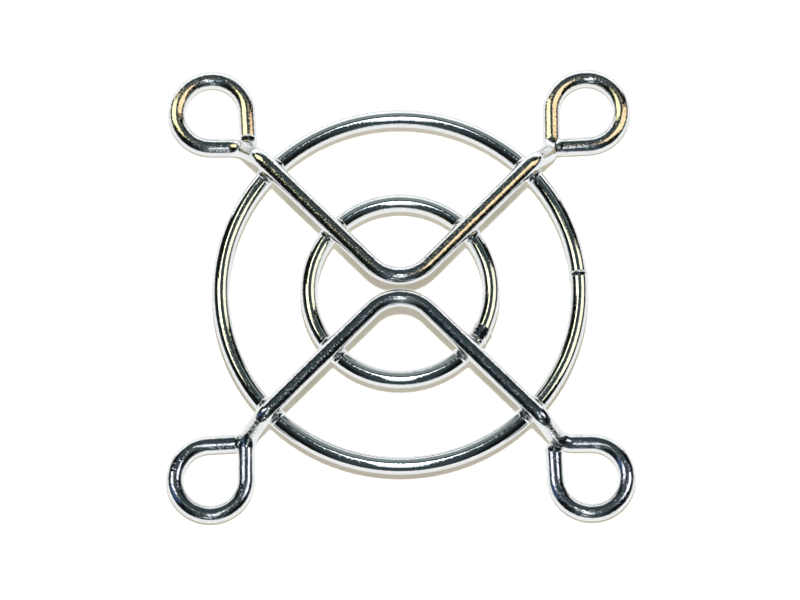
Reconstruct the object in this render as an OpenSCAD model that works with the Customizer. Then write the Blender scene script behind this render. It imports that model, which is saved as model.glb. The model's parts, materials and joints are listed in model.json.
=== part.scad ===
// Wire fan guard for a 40 mm fan. Two wire rings hang under a pair of V-shaped ribs, spot-welded
// at each crossing. Each rib end steps down to the mounting plane and winds into a screw eye.
// Z = 0 is the mounting plane under the eyes and +Z is the outside of the guard.

/* [Mounting] */
// Distance between neighbouring screw eyes, centre to centre
hole_pitch = 32; // [30:0.5:50]
// Clear diameter of a screw eye as wound
eye_d = 4.5; // [3.6:0.1:6]

/* [Wire] */
// Diameter of the wire the rings are made of
ring_wire_d = 1.5; // [1.2:0.05:1.8]
// Diameter of the wire the ribs are made of
rib_wire_d = 1.5; // [1.2:0.05:1.8]

/* [Rings] */
// Straight rib left past the middle of the outer ring's wire before the joggle starts
joggle_clear = 0.06; // [0.02:0.01:2]
// Diameter of the inner ring on the centre of its wire
inner_ring_d = 15.4; // [12:0.1:20]
// Height of the ring wire's centre above the mounting plane
ring_lift = 1.9; // [1.8:0.05:3]
// Where the outer ring's butt weld sits, in degrees from +X
outer_butt_angle = 5; // [-20:1:20]
// Clear ring between the inner ring's butt weld and the crossing weld beside it
inner_butt_clear = 0.1; // [0.05:0.05:2]

/* [Ribs] */
// Clear gap between the two ribs where they pass the centre
rib_gap = 0.4; // [0.2:0.05:1]
// Centreline bend radius at the middle of a rib
vertex_bend_r = 3.4; // [2.6:0.1:4.5]
// Slope of the joggle that takes a rib down to the mounting plane
joggle_angle = 48; // [46:1:60]
// Centreline bend radius where the joggle starts
joggle_bend_r = 1.25; // [1:0.05:1.4]
// Centreline bend radius of the neck, where the joggle turns into the eye
neck_bend_r = 1.8; // [1.2:0.05:2]

/* [Eyes] */
// How far the closing leg of an eye leans outward, in degrees
closing_lean = 3; // [0:1:8]
// Gap between an eye's free end and its own starting leg
tip_gap = 0.08; // [0.05:0.01:0.2]
// Depth of the flat that the winding pin presses inside an eye
pin_flat = 0.03; // [0.02:0.01:0.06]

/* [Welds] */
// How far a rib sinks into a ring at a crossing weld
weld_set = 0.1; // [0.06:0.01:0.15]
// Radius of the crossing weld's flash over the ring wire's own radius
flash_rise = 0.12; // [0.08:0.01:0.2]
// Length of flash that shows on the ring beyond each side of the rib
flash_reach = 0.55; // [0.4:0.05:0.8]
// Gap in a ring that its butt weld fills
butt_gap = 0.5; // [0.3:0.05:0.7]
// Radius of a butt weld's upset over the ring wire's own radius
butt_rise = 0.1; // [0.06:0.01:0.15]
// Radius of the bead that ties an eye's free end to its neck
tip_bead_r = 0.8; // [0.75:0.01:0.82]

/* [Hidden] */
$fn = 48;

chrome = [0.78, 0.80, 0.82];
flash_grey = [0.70, 0.71, 0.71];

leg_turn = 45;                 // the arms lie at 45 degrees and the eyes' legs along X and Y
eye_r = eye_d / 2 + rib_wire_d / 2;
eye_z = rib_wire_d / 2;
lap = 0.04;                    // how far a straight laps over the bend at its end
draw_down = 0.003;             // how much a bend draws the wire's radius down
rib_z = ring_lift + (ring_wire_d + rib_wire_d) / 2 - weld_set;
drop = rib_z - eye_z;
apex_y = (rib_gap + rib_wire_d) / 2;
vee_y = vertex_bend_r * (sqrt(2) - 1) - apex_y;     // how far a rib's two arms meet past the centre
pin_r = eye_d / 2 + pin_flat;

// the neck turns down-slope into level and arm into leg in one bend
neck_bend = acos(cos(joggle_angle) * cos(leg_turn));
neck_roll = atan2(sin(leg_turn), -sin(joggle_angle) * cos(leg_turn));
eye_roll = atan2(sin(joggle_angle), -cos(joggle_angle) * sin(leg_turn));
neck_tangent = neck_bend_r * tan(neck_bend / 2);
joggle_tangent = joggle_bend_r * tan(joggle_angle / 2);
joggle_run = joggle_tangent + drop / tan(joggle_angle);
slope_len = max(0.05, drop / sin(joggle_angle) - joggle_tangent - neck_tangent);

// side -1 is the arm to the left of the lower rib and +1 the arm to its right
function corner_len(side) = sqrt(2) * (hole_pitch / 2 - eye_r + (side > 0 ? vee_y : 0));
function arm_len(side) = corner_len(side) - vertex_bend_r - joggle_run;
function leg_len(side) = eye_r - side * vee_y - neck_tangent;
closing_len = (eye_r - rib_wire_d / 2 - tip_gap + (eye_r - rib_wire_d / 2) * sin(closing_lean))
              / cos(closing_lean);

// distance from the V corner, along an arm, to where it crosses a ring, and the reverse
function crossing_len(r) = vee_y / sqrt(2) + sqrt(r * r - vee_y * vee_y / 2);
function ring_through(t) = sqrt(pow(t - vee_y / sqrt(2), 2) + vee_y * vee_y / 2);
function crossing_angle(side, r) = let (t = crossing_len(r) / sqrt(2)) atan2(vee_y - t, side * t);

// the outer ring lies as far out as the straight of an arm reaches
outer_r = ring_through(vertex_bend_r + arm_len(-1) - joggle_clear);

// how far the underside of the joggle has come down a distance u past its start
inside_r = joggle_bend_r - rib_wire_d / 2;
function underside(u) = u < inside_r * sin(joggle_angle) ? inside_r - sqrt(inside_r * inside_r - u * u)
    : inside_r * (1 - cos(joggle_angle)) + (u - inside_r * sin(joggle_angle)) * tan(joggle_angle);
inner_r = inner_ring_d / 2;
weld_reach = rib_wire_d / 2 + flash_reach;
butt_r = ring_wire_d / 2 + butt_rise;
butt_reach = max(butt_gap / 2, sqrt(butt_r * butt_r - ring_wire_d * ring_wire_d / 4));
inner_butt_angle = crossing_angle(1, inner_r)
                   + (weld_reach + inner_butt_clear + butt_reach) / inner_r * 180 / PI;

// one wire-bender program: each step is [feed, roll, bend, centreline radius]. Bending draws the
// wire down a hair, so each straight laps a little way over the bends at its ends.
module wire(steps, d, i = 0) {
    if (i < len(steps)) {
        feed = steps[i][0];
        bend = steps[i][2];
        r = steps[i][3];
        translate([0, 0, -lap]) cylinder(d = d, h = feed + (bend > 0 ? 2 : 1) * lap);
        translate([0, 0, feed]) rotate([0, 0, steps[i][1]]) {
            if (bend > 0)
                translate([r, 0, 0]) rotate([90, 0, 180]) bend_arc(r, bend, d);
            translate([r, 0, 0]) rotate([0, bend, 0]) translate([-r, 0, 0]) wire(steps, d, i + 1);
        }
    }
}

module bend_arc(r, angle, d) {
    rotate_extrude(angle = angle) translate([r, 0]) circle(d = d - 2 * draw_down);
}

// everything up to the straight part of an arm, which starts where the middle bend ends
module on_arm(side) {
    translate([0, -apex_y, rib_z]) rotate([0, side * 90, 0]) rotate([0, 0, -90])
        translate([vertex_bend_r, 0, 0]) rotate([0, leg_turn, 0]) translate([-vertex_bend_r, 0, 0])
            children();
}

// an arm of the lower rib from the middle bend to the free end of its eye
module rib_arm(side) {
    on_arm(side)
        wire([[arm_len(side), side * 90, joggle_angle, joggle_bend_r],
              [slope_len, neck_roll, neck_bend, neck_bend_r],
              [leg_len(side), eye_roll, 270 - closing_lean, eye_r],
              [closing_len, 0, 0, 0]], rib_wire_d);
}

// the lower rib; the upper one is the same wire form turned half a turn
module rib_form() {
    difference() {
        union() {
            translate([0, -apex_y - vertex_bend_r, rib_z]) rotate([0, 0, 90 - leg_turn])
                bend_arc(vertex_bend_r, 2 * leg_turn, rib_wire_d);
            for (side = [-1, 1]) rib_arm(side);
        }
        for (side = [-1, 1])
            translate([side * hole_pitch / 2, -hole_pitch / 2, -1])
                cylinder(r = pin_r, h = rib_wire_d + 2, $fn = 96);
    }
}

module rib(turn) { color(chrome) rotate([0, 0, turn]) rib_form(); }

// a ring bent from one length of wire, with the gap where its ends are butted
module ring_wire(r, butt_angle) {
    gap = 2 * asin(butt_gap / 2 / r);
    translate([0, 0, ring_lift]) rotate([0, 0, butt_angle + gap / 2])
        rotate_extrude(angle = 360 - gap, $fn = 240) translate([r, 0]) circle(d = ring_wire_d, $fn = 96);
}

// the straight arm wires alone, for the seats they press into the rings
module arm_seats() {
    for (turn = [0, 180], side = [-1, 1])
        rotate([0, 0, turn]) on_arm(side) {
            cylinder(d = rib_wire_d, h = arm_len(side) + lap);
            joggle_room(side);
        }
}

module ring(r, butt_angle) {
    color(chrome) difference() {
        ring_wire(r, butt_angle);
        arm_seats();
    }
}

// the wedge of space that the inside of the joggle takes up over the outer ring and its flash
module joggle_room(side) {
    half = rib_wire_d / 2 + 0.05;
    start = vertex_bend_r + arm_len(side) - crossing_len(outer_r);
    u = max(0.2, ring_wire_d / 2 + flash_rise - start);
    rotate([0, 0, side * 90]) translate([rib_wire_d / 2, 0, arm_len(side) - 0.01])
        rotate([90, 0, 0]) linear_extrude(height = 2 * half, center = true)
            polygon([[0, 0], [-1.5, 0], [-1.5, 1.5], [1.5 * underside(u) / u + 0.03, 1.5]]);
}

// flash squeezed out round the ring at a crossing, fuller than the wire and trimmed to a round patch
module crossing_weld(side, turn, r, butt_angle) {
    span = 2 * asin(1.3 * weld_reach / r);
    at = turn + crossing_angle(side, r);
    color(flash_grey) difference() {
        intersection() {
            translate([0, 0, ring_lift + weld_set]) rotate([0, 0, at - span / 2])
                rotate_extrude(angle = span, $fn = 240)
                    translate([r, 0]) circle(r = ring_wire_d / 2 + flash_rise, $fn = 96);
            rotate([0, 0, at]) translate([r, 0, ring_lift + weld_set]) sphere(r = weld_reach, $fn = 128);
        }
        ring_wire(r, butt_angle);
        rotate([0, 0, turn]) on_arm(side) {
            cylinder(d = rib_wire_d, h = arm_len(side) + lap, $fn = 96);
            joggle_room(side);
        }
    }
}

// the upset where a ring's two ends are butted together
module butt_weld(r, angle) {
    color(flash_grey) difference() {
        rotate([0, 0, angle]) translate([r, 0, ring_lift]) rotate([90, 0, 0])
            sphere(r = butt_r, $fn = 96);
        ring_wire(r, angle);
    }
}

// the bead sits just past the closing leg's free end, against the neck
module tip_weld(side, turn) {
    color(flash_grey) rotate([0, 0, turn]) difference() {
        translate([side * hole_pitch / 2, -hole_pitch / 2, eye_z])
            rotate([0, 0, side > 0 ? 90 : 0]) rotate([0, 0, closing_lean])
                translate([closing_len + 0.25, eye_r, tip_bead_r - eye_z + 0.05])
                    rotate([0, 90, 0]) sphere(r = tip_bead_r, $fn = 96);
        rib_arm(side);
    }
}

ring(outer_r, outer_butt_angle);  // outer_ring
ring(inner_r, inner_butt_angle);  // inner_ring
rib(180);  // upper_rib
rib(0);  // lower_rib
crossing_weld(1, 180, outer_r, outer_butt_angle);  // outer_weld_upper_left
crossing_weld(-1, 180, outer_r, outer_butt_angle);  // outer_weld_upper_right
crossing_weld(-1, 0, outer_r, outer_butt_angle);  // outer_weld_lower_left
crossing_weld(1, 0, outer_r, outer_butt_angle);  // outer_weld_lower_right
crossing_weld(1, 180, inner_r, inner_butt_angle);  // inner_weld_upper_left
crossing_weld(-1, 180, inner_r, inner_butt_angle);  // inner_weld_upper_right
crossing_weld(-1, 0, inner_r, inner_butt_angle);  // inner_weld_lower_left
crossing_weld(1, 0, inner_r, inner_butt_angle);  // inner_weld_lower_right
butt_weld(outer_r, outer_butt_angle);  // outer_butt_weld
butt_weld(inner_r, inner_butt_angle);  // inner_butt_weld
tip_weld(1, 180);  // tip_weld_upper_left
tip_weld(-1, 180);  // tip_weld_upper_right
tip_weld(-1, 0);  // tip_weld_lower_left
tip_weld(1, 0);  // tip_weld_lower_right
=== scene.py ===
import json
import math

import bpy
from mathutils import Matrix, Vector

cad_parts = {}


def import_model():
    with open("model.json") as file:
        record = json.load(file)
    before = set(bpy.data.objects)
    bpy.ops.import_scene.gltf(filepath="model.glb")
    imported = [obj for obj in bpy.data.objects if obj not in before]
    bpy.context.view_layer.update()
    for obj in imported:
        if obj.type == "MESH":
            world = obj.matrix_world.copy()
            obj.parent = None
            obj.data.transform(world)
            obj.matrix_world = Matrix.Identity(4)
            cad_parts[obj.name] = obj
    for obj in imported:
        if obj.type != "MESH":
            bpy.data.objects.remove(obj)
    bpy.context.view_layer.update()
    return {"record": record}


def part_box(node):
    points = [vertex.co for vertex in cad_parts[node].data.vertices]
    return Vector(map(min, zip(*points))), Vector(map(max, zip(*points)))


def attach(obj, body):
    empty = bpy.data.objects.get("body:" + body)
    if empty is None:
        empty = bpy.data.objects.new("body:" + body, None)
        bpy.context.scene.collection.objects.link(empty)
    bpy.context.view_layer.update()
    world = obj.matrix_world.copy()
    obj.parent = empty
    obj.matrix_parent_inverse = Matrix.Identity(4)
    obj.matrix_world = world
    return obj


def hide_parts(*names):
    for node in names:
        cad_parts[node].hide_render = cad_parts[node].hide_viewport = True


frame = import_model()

MM = 0.001

# ---------------------------------------------------------------- sizes, in millimetres and degrees
HOLE_PITCH = frame["record"]["mounts"][0]["dims"]["spacing_x_mm"]
WIRE_R = 0.75
EYE_R = 3.0                  # centreline radius of a screw eye
RING_Z = 1.9                 # height of the rings' wire
RIB_Z = 3.3                  # height of the ribs' wire
VERTEX_R = 3.4               # middle bend of a rib
APEX_Y = 0.95                # from the guard's middle to a rib's centreline
VEE_Y = VERTEX_R * (math.sqrt(2) - 1) - APEX_Y   # how far past the middle a rib's arms would meet
JOGGLE_R = 1.25              # the bend down past the outer ring
JOGGLE_ANGLE = 48.0
NECK_R = 1.8                 # the bend from the joggle into the eye
CLOSING_LEAN = 3.0           # what an eye lacks of three quarters of a turn
TIP_GAP = 0.08               # between an eye's free end and its neck
INNER_RING_R = 7.7
BUTT_GAP = 0.5               # between the two ends of a ring
OUTER_BUTT, INNER_BUTT = 5.0, -29.2   # where the rings' ends are butted, from +X

WIRE_SIDES = 56              # flats around a wire
WIRE_CREASE = 40             # sharper edges than this stay sharp
WIRE_MERGE = 0.002           # points nearer than this are one
CUT_EDGE, CUT_DEPTH = 0.1, 0.07   # how a wire's cut end is dressed

BEAD_SIDES = 26
BEAD_CREASE = 55
BEAD_MERGE = 0.012
FLASH_CURVE = 11             # between the radii of the two rings, as one flash serves both
RIDGE_CURVE = 15             # about the outer ring's radius
BLOB_PAST, BLOB_Z = 0.22, 0.82    # the tip blob's middle: past the free end, and its height


def outer_ring_radius():
    low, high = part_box("outer_ring")
    return (high.y - low.y) / 2 / MM - WIRE_R


OUTER_RING_R = outer_ring_radius()


# ---------------------------------------------------------------- modelling by operators
def nothing_selected():
    if bpy.context.object and bpy.context.object.mode != "OBJECT":
        bpy.ops.object.mode_set(mode="OBJECT")
    bpy.ops.object.select_all(action="DESELECT")


def to_origin(piece):
    """Puts a piece's place and turn into its mesh."""
    nothing_selected()
    piece.select_set(True)
    bpy.context.view_layer.objects.active = piece
    bpy.ops.object.transform_apply(location=True, rotation=True, scale=True)
    return piece


def copied(piece, name, place):
    """A copy with a mesh of its own, moved by place."""
    nothing_selected()
    twin = piece.copy()
    twin.data = piece.data.copy()
    bpy.context.scene.collection.objects.link(twin)
    twin.name = twin.data.name = name
    twin.matrix_world = place
    return to_origin(twin)


def shift(x=0, y=0, z=0):
    return Matrix.Translation((x, y, z))


def turn(angle, axis):
    return Matrix.Rotation(math.radians(angle), 4, axis)


# ---------------------------------------------------------------- bent wires
def wire_start(name, place):
    """A wire's first cross-section: a ring of points across the heading of place."""
    nothing_selected()
    bpy.ops.mesh.primitive_circle_add(vertices=WIRE_SIDES, radius=WIRE_R * MM, fill_type="NOTHING")
    piece = bpy.context.object
    piece.name = piece.data.name = name
    scaled = place.copy()
    scaled.translation = place.translation * MM
    piece.matrix_world = scaled
    to_origin(piece)
    bpy.ops.object.mode_set(mode="EDIT")
    bpy.ops.mesh.select_all(action="SELECT")
    return piece


def run_wire(place, steps, degrees_per_step=3.0, feed_per_step=0.6):
    """Draws the selected cross-section out through a bending program of feed, roll, bend, radius."""
    for feed, roll, bend, radius in steps:
        pieces = max(1, round(feed / feed_per_step))
        way = (place.to_3x3() @ Vector((0, 0, feed / pieces))) * MM
        for _ in range(pieces):
            bpy.ops.mesh.extrude_edges_move(TRANSFORM_OT_translate={"value": way})
        place = place @ shift(0, 0, feed) @ turn(roll, "Z")
        if bend:
            centre = (place @ Vector((radius, 0, 0))) * MM
            axis = place.to_3x3() @ Vector((0, 1, 0))
            bpy.ops.mesh.spin(steps=max(2, round(bend / degrees_per_step)),
                              angle=-math.radians(bend), center=centre, axis=axis)
            place = place @ shift(radius) @ turn(bend, "Y") @ shift(-radius)


def close_end():
    """Closes the selected open end of a wire with a slightly dressed cut."""
    bpy.ops.mesh.edge_face_add()
    bpy.ops.mesh.inset(thickness=CUT_EDGE * MM, depth=CUT_DEPTH * MM)


def finish_wire(piece):
    bpy.ops.mesh.select_all(action="SELECT")
    bpy.ops.mesh.remove_doubles(threshold=WIRE_MERGE * MM)
    bpy.ops.mesh.normals_make_consistent(inside=False)
    bpy.ops.object.mode_set(mode="OBJECT")
    bpy.ops.object.shade_smooth_by_angle(angle=math.radians(WIRE_CREASE))
    return piece


def closing_leg():
    """The length of an eye's last straight leg, which stops just short of its neck."""
    lean = math.radians(CLOSING_LEAN)
    inside = EYE_R - WIRE_R
    return (inside - TIP_GAP + inside * math.sin(lean)) / math.cos(lean)


def rib_steps(side):
    """The bending program of one half of a rib, from its middle to the free end of the eye."""
    drop = RIB_Z - WIRE_R
    joggle, leg = math.radians(JOGGLE_ANGLE), math.radians(45)
    neck_bend = math.acos(math.cos(joggle) * math.cos(leg))
    neck_roll = math.degrees(math.atan2(math.sin(leg), -math.sin(joggle) * math.cos(leg)))
    eye_roll = math.degrees(math.atan2(math.sin(joggle), -math.cos(joggle) * math.sin(leg)))
    neck_tangent = NECK_R * math.tan(neck_bend / 2)
    joggle_tangent = JOGGLE_R * math.tan(joggle / 2)
    corner = math.sqrt(2) * (HOLE_PITCH / 2 - EYE_R + (VEE_Y if side > 0 else 0))
    arm = corner - VERTEX_R - joggle_tangent - drop / math.tan(joggle)
    slope = drop / math.sin(joggle) - joggle_tangent - neck_tangent
    return [(0, 0, 45, VERTEX_R),
            (arm, side * 90, JOGGLE_ANGLE, JOGGLE_R),
            (slope, neck_roll, math.degrees(neck_bend), NECK_R),
            (EYE_R - side * VEE_Y - neck_tangent, eye_roll, 270 - CLOSING_LEAN, EYE_R),
            (closing_leg(), 0, 0, 0)]


def rib_wire(name):
    """The lower rib, bent both ways from its middle."""
    halves = []
    for side in (-1, 1):
        place = shift(0, -APEX_Y, RIB_Z) @ turn(side * 90, "Y") @ turn(-90, "Z")
        half = wire_start(f"{name}_{side}", place)
        run_wire(place, rib_steps(side))
        close_end()
        bpy.ops.object.mode_set(mode="OBJECT")
        halves.append(half)
    nothing_selected()
    for half in halves:
        half.select_set(True)
    bpy.context.view_layer.objects.active = halves[0]
    bpy.ops.object.join()
    piece = bpy.context.object
    piece.name = piece.data.name = name
    bpy.ops.object.mode_set(mode="EDIT")
    return finish_wire(piece)


def ring_wire(name, radius, butt_angle):
    """A ring bent from one length of wire, open where its ends are butted."""
    gap = 2 * math.degrees(math.asin(BUTT_GAP / 2 / radius))
    start = turn(butt_angle + gap / 2, "Z") @ shift(radius, 0, RING_Z)
    place = start @ turn(-90, "X") @ turn(180, "Z")
    piece = wire_start(name, place)
    run_wire(place, [(0, 0, 360 - gap, radius)], degrees_per_step=1.5)
    bpy.ops.mesh.select_all(action="DESELECT")
    bpy.ops.mesh.select_non_manifold()
    bpy.ops.mesh.edge_face_add()
    return finish_wire(piece)


# ---------------------------------------------------------------- welds
def bead(name, stations, lump, grain):
    """A lump of weld metal swept through stations of distance along, radius, shift across and up."""
    nothing_selected()
    along, radius, across, up = stations[0]
    bpy.ops.mesh.primitive_circle_add(vertices=BEAD_SIDES, radius=radius * MM, fill_type="NOTHING",
                                      location=(across * MM, along * MM, up * MM),
                                      rotation=(math.pi / 2, 0, 0))
    piece = bpy.context.object
    piece.name = piece.data.name = name
    to_origin(piece)
    bpy.ops.object.mode_set(mode="EDIT")
    bpy.ops.mesh.select_all(action="SELECT")
    for old, new in zip(stations, stations[1:]):
        step = Vector((new[2] - old[2], new[0] - old[0], new[3] - old[3])) * MM
        bpy.ops.mesh.extrude_edges_move(TRANSFORM_OT_translate={"value": step})
        ratio = new[1] / old[1]
        bpy.ops.transform.resize(value=(ratio, ratio, ratio),
                                 center_override=Vector((new[2], new[0], new[3])) * MM)
    bpy.ops.mesh.select_all(action="SELECT")
    bpy.ops.mesh.remove_doubles(threshold=BEAD_MERGE * MM)
    bpy.ops.mesh.normals_make_consistent(inside=False)
    bpy.ops.object.mode_set(mode="OBJECT")
    finer = piece.modifiers.new("finer", "SUBSURF")
    finer.levels = finer.render_levels = 1
    bpy.ops.object.modifier_apply(modifier="finer")
    froth = bpy.data.textures.new(name + "_froth", "CLOUDS")
    froth.noise_scale = grain * MM
    froth.noise_depth = 2
    lumps = piece.modifiers.new("lumps", "DISPLACE")
    lumps.texture = froth
    lumps.texture_coords = "LOCAL"
    lumps.strength = lump * MM
    lumps.mid_level = 0.5
    bpy.ops.object.modifier_apply(modifier="lumps")
    bpy.ops.object.shade_smooth_by_angle(angle=math.radians(BEAD_CREASE))
    return piece


def swell(profile, curve, lift):
    """Stations of a bead that follows a ring of radius curve, raised by lift."""
    return [(along, radius, -along * along / 2 / curve, lift) for along, radius in profile]


def crossing_flash():
    """The flash squeezed out on both sides of a rib where it was pressed into a ring."""
    profile = [(-1.40, 0.01), (-1.36, 0.20), (-1.24, 0.44), (-1.08, 0.66), (-0.92, 0.78),
               (-0.70, 0.80), (-0.30, 0.76), (0.25, 0.76), (0.68, 0.79), (0.88, 0.80),
               (1.02, 0.70), (1.16, 0.50), (1.27, 0.24), (1.31, 0.01)]
    return bead("crossing_flash", swell(profile, FLASH_CURVE, lift=0.17), lump=0.15, grain=0.34)


def butt_collar():
    """The wide collar of the inner ring's butt weld, with a fin at each end."""
    profile = [(-0.66, 0.01), (-0.655, 0.72), (-0.61, 0.89), (-0.53, 0.86), (-0.42, 0.78),
               (-0.22, 0.83), (-0.05, 0.80), (0.14, 0.84), (0.34, 0.79), (0.47, 0.83),
               (0.56, 0.91), (0.63, 0.74), (0.64, 0.01)]
    return bead("butt_collar", swell(profile, INNER_RING_R, lift=0.02), lump=0.10, grain=0.30)


def butt_ridge():
    """The narrow ridge of the outer ring's butt weld."""
    profile = [(-0.30, 0.01), (-0.295, 0.70), (-0.20, 0.76), (-0.09, 0.82), (0.02, 0.85),
               (0.11, 0.81), (0.22, 0.76), (0.295, 0.69), (0.30, 0.01)]
    return bead("butt_ridge", swell(profile, RIDGE_CURVE, lift=0.01), lump=0.09, grain=0.30)


def tip_blob():
    """The blob that ties an eye's free end to its neck."""
    profile = [(-0.58, 0.01), (-0.53, 0.36), (-0.40, 0.60), (-0.20, 0.74), (0.02, 0.79),
               (0.24, 0.76), (0.42, 0.62), (0.54, 0.38), (0.60, 0.01)]
    return bead("tip_blob", [(along, radius, 0, 0) for along, radius in profile],
                lump=0.16, grain=0.42)


def arms():
    """Each rib arm's name, the side it has on the lower rib, and the turn from there to its place."""
    for half, flip in (("lower", 0), ("upper", 180)):
        for hand, side in (("left", -1), ("right", 1)):
            yield f"{half}_{hand}", (-side if flip else side), flip


def on_ring(radius, angle):
    return turn(angle, "Z") @ shift(radius * MM, 0, RING_Z * MM)


def crossing_angle(side, radius):
    """Where an arm of the lower rib crosses a ring, in degrees from +X."""
    reach = (VEE_Y / math.sqrt(2) + math.sqrt(radius * radius - VEE_Y * VEE_Y / 2)) / math.sqrt(2)
    return math.degrees(math.atan2(VEE_Y - reach, side * reach))


def tip_place(side, flip):
    """Just past the free end of an eye, along its closing leg, on the lower rib turned by flip."""
    middle = HOLE_PITCH / 2 * MM
    place = turn(flip, "Z") @ shift(side * middle, -middle, 0)
    place = place @ turn((90 if side > 0 else 0) + CLOSING_LEAN, "Z")
    along = (closing_leg() + BLOB_PAST) * MM
    return place @ shift(along, EYE_R * MM, BLOB_Z * MM) @ turn(-90, "Z")


# ---------------------------------------------------------------- camera
CAMERA_DISTANCE = 0.45827
CAMERA_RIGHT, CAMERA_UP = -0.0000068, -0.000314    # its shift from the line through the middle
CAMERA_TILT = math.radians(14.464)                 # from straight above
CAMERA_ROLL = math.radians(-0.292)
LENS = 243.0
NEAREST, FARTHEST = 0.02, 20


def camera():
    back = Vector((0, -math.sin(CAMERA_TILT), math.cos(CAMERA_TILT)))
    right = Vector((1, 0, 0))
    up = back.cross(right)
    right, up = (math.cos(CAMERA_ROLL) * right + math.sin(CAMERA_ROLL) * up,
                 -math.sin(CAMERA_ROLL) * right + math.cos(CAMERA_ROLL) * up)
    data = bpy.data.cameras.new("Camera")
    data.lens = LENS
    data.clip_start = NEAREST
    data.clip_end = FARTHEST
    seat = bpy.data.objects.new("Camera", data)
    bpy.context.scene.collection.objects.link(seat)
    place = back * CAMERA_DISTANCE + up * CAMERA_UP + right * CAMERA_RIGHT
    seat.matrix_world = Matrix.Translation(place) @ Matrix((right, up, back)).transposed().to_4x4()
    bpy.context.scene.camera = seat


# ---------------------------------------------------------------- materials
PIT_DETAIL, PIT_ROUGHNESS = 2.5, 0.6
PIT_RANGE = (0.52, 0.72)             # only the noise's high spots make dents
PIT_SHARE = 0.3                      # how much of the whole noise is added to them
PATCH_SCALE, PATCH_DETAIL = 900, 3
PATCH_RANGE = (0.35, 0.75)
POLISHED = 0.02                      # roughness between the hazy patches
PLATE = ((0.3, (0.86, 0.87, 0.87, 1)), (0.8, (0.76, 0.79, 0.80, 1)))    # clean, then hazy

BOARD = (0.9, 0.9, 0.9, 1)
BOARD_ROUGHNESS = 0.9
BOARD_LIFT = 0.26                    # brightness that only the camera sees
BOARD_LIFT_TINT = (1.0, 0.84, 0.52, 1)
MIRRORED_BOARD = (1, 1, 1, 1)        # the board as the chrome reflects it


def new_material(name):
    made = bpy.data.materials.new(name)
    made.use_nodes = True
    nodes, links = made.node_tree.nodes, made.node_tree.links
    return made, nodes, links, nodes["Principled BSDF"]


def noise(nodes, scale, detail, roughness=0.5):
    made = nodes.new("ShaderNodeTexNoise")
    made.inputs["Scale"].default_value = scale
    made.inputs["Detail"].default_value = detail
    made.inputs["Roughness"].default_value = roughness
    return made


def remapped(nodes, low, high, to_low=0.0, to_high=1.0):
    """A node that turns the range from low to high into the one from to_low to to_high."""
    made = nodes.new("ShaderNodeMapRange")
    made.inputs["From Min"].default_value = low
    made.inputs["From Max"].default_value = high
    made.inputs["To Min"].default_value = to_low
    made.inputs["To Max"].default_value = to_high
    return made


def colour_ramp(nodes, stops):
    """A ramp through stops of position and colour. It starts with two elements of its own."""
    made = nodes.new("ShaderNodeValToRGB")
    elements = made.color_ramp.elements
    for element, (position, colour) in zip(elements, stops):
        element.position = position
        element.color = colour
    for position, colour in stops[2:]:
        elements.new(position).color = colour
    return made


def chrome(name, dents, grain, cloudy):
    """Bright plating over drawn wire: small dents that break up highlights, and hazy patches."""
    made, nodes, links, shader = new_material(name)
    shader.inputs["Metallic"].default_value = 1.0
    where = nodes.new("ShaderNodeTexCoord")
    pits = noise(nodes, grain, PIT_DETAIL, PIT_ROUGHNESS)
    sparse = remapped(nodes, *PIT_RANGE)
    relief = nodes.new("ShaderNodeMath")
    relief.operation = "MULTIPLY_ADD"
    relief.inputs[1].default_value = PIT_SHARE
    bump = nodes.new("ShaderNodeBump")
    bump.inputs["Strength"].default_value = 1.0
    bump.inputs["Distance"].default_value = dents * MM
    patches = noise(nodes, PATCH_SCALE, PATCH_DETAIL)
    haze = remapped(nodes, *PATCH_RANGE, POLISHED, cloudy)
    shade = colour_ramp(nodes, PLATE)
    links.new(where.outputs["Object"], pits.inputs["Vector"])
    links.new(where.outputs["Object"], patches.inputs["Vector"])
    links.new(pits.outputs["Fac"], sparse.inputs["Value"])
    links.new(pits.outputs["Fac"], relief.inputs[0])
    links.new(sparse.outputs["Result"], relief.inputs[2])
    links.new(relief.outputs["Value"], bump.inputs["Height"])
    links.new(bump.outputs["Normal"], shader.inputs["Normal"])
    links.new(patches.outputs["Fac"], haze.inputs["Value"])
    links.new(haze.outputs["Result"], shader.inputs["Roughness"])
    links.new(patches.outputs["Fac"], shade.inputs["Fac"])
    links.new(shade.outputs["Color"], shader.inputs["Base Color"])
    return made


def floor_material():
    """A white board. The camera sees it lifted by a warm tint, and the chrome sees it plain white."""
    made, nodes, links, shader = new_material("white_board")
    shader.inputs["Base Color"].default_value = BOARD
    shader.inputs["Roughness"].default_value = BOARD_ROUGHNESS
    rays = nodes.new("ShaderNodeLightPath")
    lift = nodes.new("ShaderNodeMath")
    lift.operation = "MULTIPLY"
    lift.inputs[1].default_value = BOARD_LIFT
    glow = nodes.new("ShaderNodeEmission")
    glow.inputs["Color"].default_value = BOARD_LIFT_TINT
    seen = nodes.new("ShaderNodeAddShader")
    white = nodes.new("ShaderNodeEmission")
    white.inputs["Color"].default_value = MIRRORED_BOARD
    white.inputs["Strength"].default_value = 1.0
    either = nodes.new("ShaderNodeMixShader")
    links.new(rays.outputs["Is Camera Ray"], lift.inputs[0])
    links.new(lift.outputs["Value"], glow.inputs["Strength"])
    links.new(shader.outputs["BSDF"], seen.inputs[0])
    links.new(glow.outputs["Emission"], seen.inputs[1])
    links.new(rays.outputs["Is Glossy Ray"], either.inputs["Fac"])
    links.new(seen.outputs["Shader"], either.inputs[1])
    links.new(white.outputs["Emission"], either.inputs[2])
    links.new(either.outputs["Shader"], nodes["Material Output"].inputs["Surface"])
    return made


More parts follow.
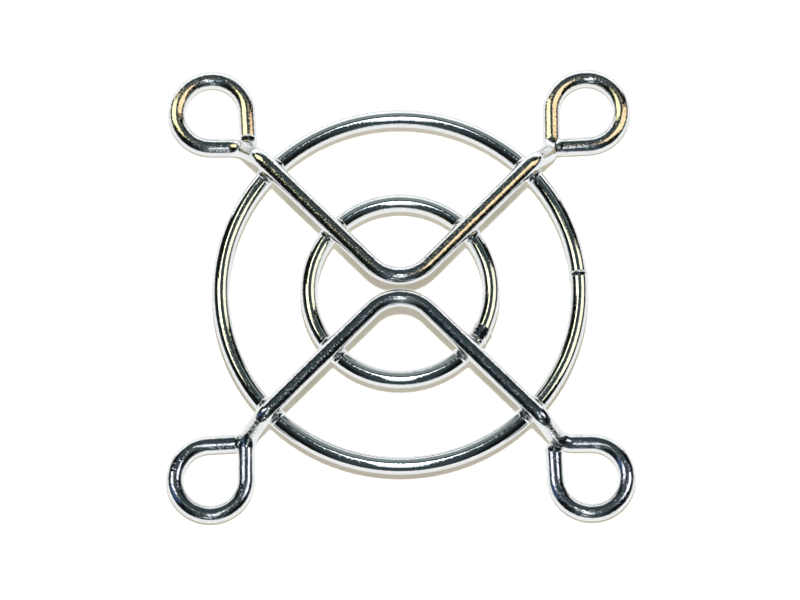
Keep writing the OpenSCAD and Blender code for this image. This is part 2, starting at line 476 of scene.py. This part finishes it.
# ---------------------------------------------------------------- light
SLATE = (0.042, 0.060, 0.068, 1)     # the dim room that the chrome reflects
DARK = (0.008, 0.010, 0.009, 1)      # and its dark sides
# The room's brightness, by how far sideways a direction points: 0 ahead, up or back, 1 to a side.
ROOM = ((0.30, SLATE), (0.50, DARK), (0.90, DARK), (0.98, SLATE))

WHITE, CREAM, BUTTER = (1, 1, 1), (1.0, 0.98, 0.74), (1.0, 0.94, 0.60)
GOLD, PEACH = (1.0, 0.91, 0.46), (1.0, 0.73, 0.42)
SKY, PALE, COOL = (0.90, 0.96, 1.0), (0.93, 0.98, 1.0), (0.90, 0.95, 1.0)
MINT, LILAC, BLUE = (0.86, 1.0, 0.95), (0.86, 0.86, 1.0), (0.20, 0.42, 1.0)


def world():
    sky = bpy.data.worlds.new("studio")
    bpy.context.scene.world = sky
    sky.use_nodes = True
    nodes, links = sky.node_tree.nodes, sky.node_tree.links
    way = nodes.new("ShaderNodeTexCoord")
    parts = nodes.new("ShaderNodeSeparateXYZ")
    sideways = nodes.new("ShaderNodeMath")
    sideways.operation = "ABSOLUTE"
    ramp = colour_ramp(nodes, ROOM)
    links.new(way.outputs["Generated"], parts.inputs["Vector"])
    links.new(parts.outputs["X"], sideways.inputs[0])
    links.new(sideways.outputs["Value"], ramp.inputs["Fac"])
    links.new(ramp.outputs["Color"], nodes["Background"].inputs["Color"])
    nodes["Background"].inputs["Strength"].default_value = 1.0


def toward(azimuth, zenith, distance=0.5):
    """A place in the given direction from the middle of the guard, in degrees."""
    a, z = math.radians(azimuth), math.radians(zenith)
    return (distance * math.sin(z) * math.cos(a), distance * math.sin(z) * math.sin(a),
            distance * math.cos(z))


def panel(name, centre, size, brightness, colour=WHITE, aim=(0, 0, 0), only=(), mirrored=True):
    """A soft box of a given brightness, in the units in which a white board is 1.

    It lights everything, or only the pieces listed, and a mirrored one shows in the chrome.
    """
    data = bpy.data.lights.new(name, "AREA")
    data.shape = "RECTANGLE"
    data.size, data.size_y = size
    data.energy = brightness * math.pi * size[0] * size[1]
    data.color = colour
    lamp = bpy.data.objects.new(name, data)
    bpy.context.scene.collection.objects.link(lamp)
    way = (Vector(aim) - Vector(centre)).to_track_quat("-Z", "Y").to_matrix().to_4x4()
    lamp.matrix_world = Matrix.Translation(centre) @ way
    lamp.visible_camera = False
    lamp.visible_glossy = mirrored
    if only:
        group = bpy.data.collections.new(name + "_pieces")
        for piece in only:
            group.objects.link(piece)
        lamp.light_linking.receiver_collection = group


# ---------------------------------------------------------------- the guard
def fitted(piece, node, material):
    piece.data.materials.clear()
    piece.data.materials.append(material)
    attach(piece, "root")
    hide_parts(node)


camera()
world()

lower = rib_wire("lower_rib_wire")
upper = copied(lower, "upper_rib_wire", turn(180, "Z"))
outer = ring_wire("outer_ring_wire", OUTER_RING_R, OUTER_BUTT)
inner = ring_wire("inner_ring_wire", INNER_RING_R, INNER_BUTT)

ring_chrome = chrome("ring_chrome", dents=0.0025, grain=5200, cloudy=0.03)
rib_chrome = chrome("rib_chrome", dents=0.0062, grain=6000, cloudy=0.03)
weld_chrome = chrome("weld_chrome", dents=0.008, grain=6500, cloudy=0.30)

for piece, node in ((lower, "lower_rib"), (upper, "upper_rib")):
    fitted(piece, node, rib_chrome)
for piece, node in ((outer, "outer_ring"), (inner, "inner_ring")):
    fitted(piece, node, ring_chrome)

flash = crossing_flash()
for ring, radius in (("outer", OUTER_RING_R), ("inner", INNER_RING_R)):
    for arm, side, flip in arms():
        node = f"{ring}_weld_{arm}"
        place = on_ring(radius, flip + crossing_angle(side, radius))
        fitted(copied(flash, node + "_flash", place), node, weld_chrome)
bpy.data.objects.remove(flash)
for made, node, radius, angle in ((butt_collar(), "inner_butt_weld", INNER_RING_R, INNER_BUTT),
                                  (butt_ridge(), "outer_butt_weld", OUTER_RING_R, OUTER_BUTT)):
    made.matrix_world = on_ring(radius, angle)
    to_origin(made)
    made.name = made.data.name = node + "_metal"
    fitted(made, node, weld_chrome)
blob = tip_blob()
for arm, side, flip in arms():
    node = f"tip_weld_{arm}"
    fitted(copied(blob, node + "_blob", tip_place(side, flip)), node, weld_chrome)
bpy.data.objects.remove(blob)

# ---------------------------------------------------------------- lamps: place, size, brightness
rings, top, low = [outer, inner], [upper], [lower]
panel("key", (0, -0.012, 0.36), (0.022, 0.022), 725, mirrored=False)
panel("glint", (0, -0.012, 0.36), (0.016, 0.024), 60)
panel("front_wedge", (0, -0.045, 0.40), (0.062, 0.19), 4.0, SKY, only=rings)
panel("front_narrow", (-0.004, -0.085, 0.40), (0.028, 0.19), 1.1, PALE, only=top + low)
panel("edge_line", toward(262, 62), (0.10, 0.03), 3.0, PALE, only=top + low)
panel("front_strip", (0, -0.24, 0.45), (0.11, 0.22), 1.1, COOL)
panel("top_card", (-0.01, 0.105, 0.026), (0.26, 0.05), 1.15, WHITE, aim=(-0.01, 0, 0.026))
panel("top_haze", toward(90, 44), (0.50, 0.34), 0.22, MINT, only=rings)
panel("comet_inner", toward(138, 24), (0.14, 0.08), 3.0, BUTTER, only=rings)
panel("comet_outer", toward(170, 36), (0.18, 0.10), 2.6, CREAM, only=rings)
panel("window", toward(7, 47), (0.34, 0.32), 1.3, CREAM, only=rings)
panel("gold_left", toward(157, 43), (0.25, 0.40), 2.0, GOLD, only=top)
panel("gold_right", toward(6, 40), (0.30, 0.52), 1.4, PEACH, only=top)
panel("lilac_left", toward(168, 38), (0.14, 0.26), 1.8, LILAC, only=low)
panel("blue_left", toward(192, 55), (0.20, 0.30), 0.2, BLUE, only=low)
panel("lilac_right", toward(5, 36), (0.18, 0.22), 2.0, LILAC, only=low)

nothing_selected()
bpy.ops.mesh.primitive_plane_add(size=3, location=(0, 0, 0))
floor = bpy.context.object
floor.name = "floor"
floor.data.materials.append(floor_material())
bpy.context.scene.view_settings.view_transform = "Standard"
